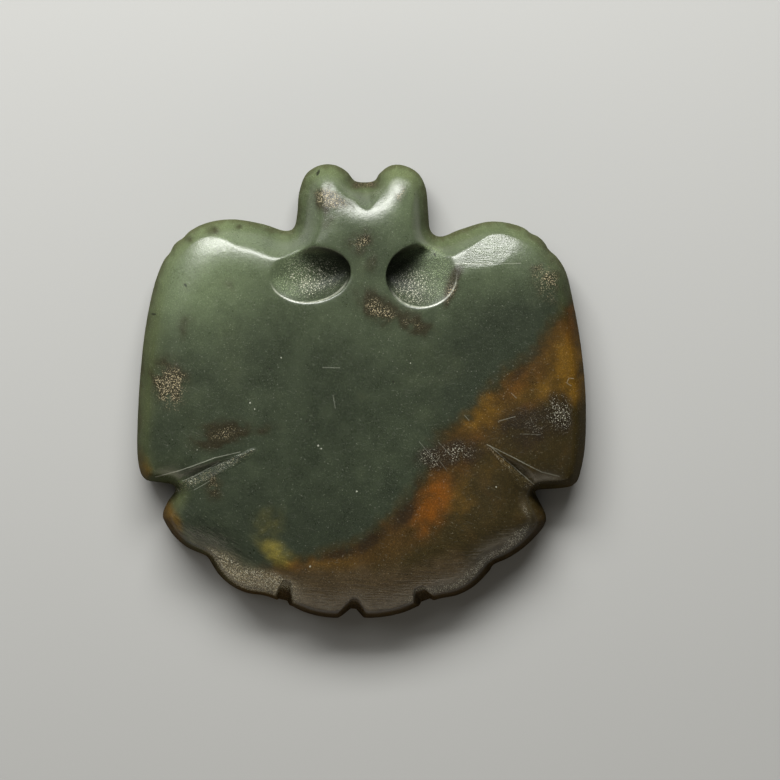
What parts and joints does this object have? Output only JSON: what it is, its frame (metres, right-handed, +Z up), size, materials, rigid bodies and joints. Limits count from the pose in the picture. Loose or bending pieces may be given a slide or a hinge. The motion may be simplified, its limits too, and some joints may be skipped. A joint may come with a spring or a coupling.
{
  "type": "jade bird plaque",
  "caption": "Flat jade carving of a spread-winged bird with ear tufts, slanting eye hollows, wing grooves and a scalloped tail. It lies on its flat back.",
  "frame": {"origin": "on the flat back, at the middle of the outline's box, with the bird lying face up", "axes": "+Z up out of the carved face, +Y towards the ear tufts, +X towards the wing with the russet band"},
  "size_m": [0.058, 0.0592, 0.009],
  "materials": {
    "jade": "polished grey-green nephrite with a russet band, brown earth patches and a matt ground tail"
  },
  "bodies": {
    "root": {"bird_plaque": "jade"}
  },
  "joints": []
}
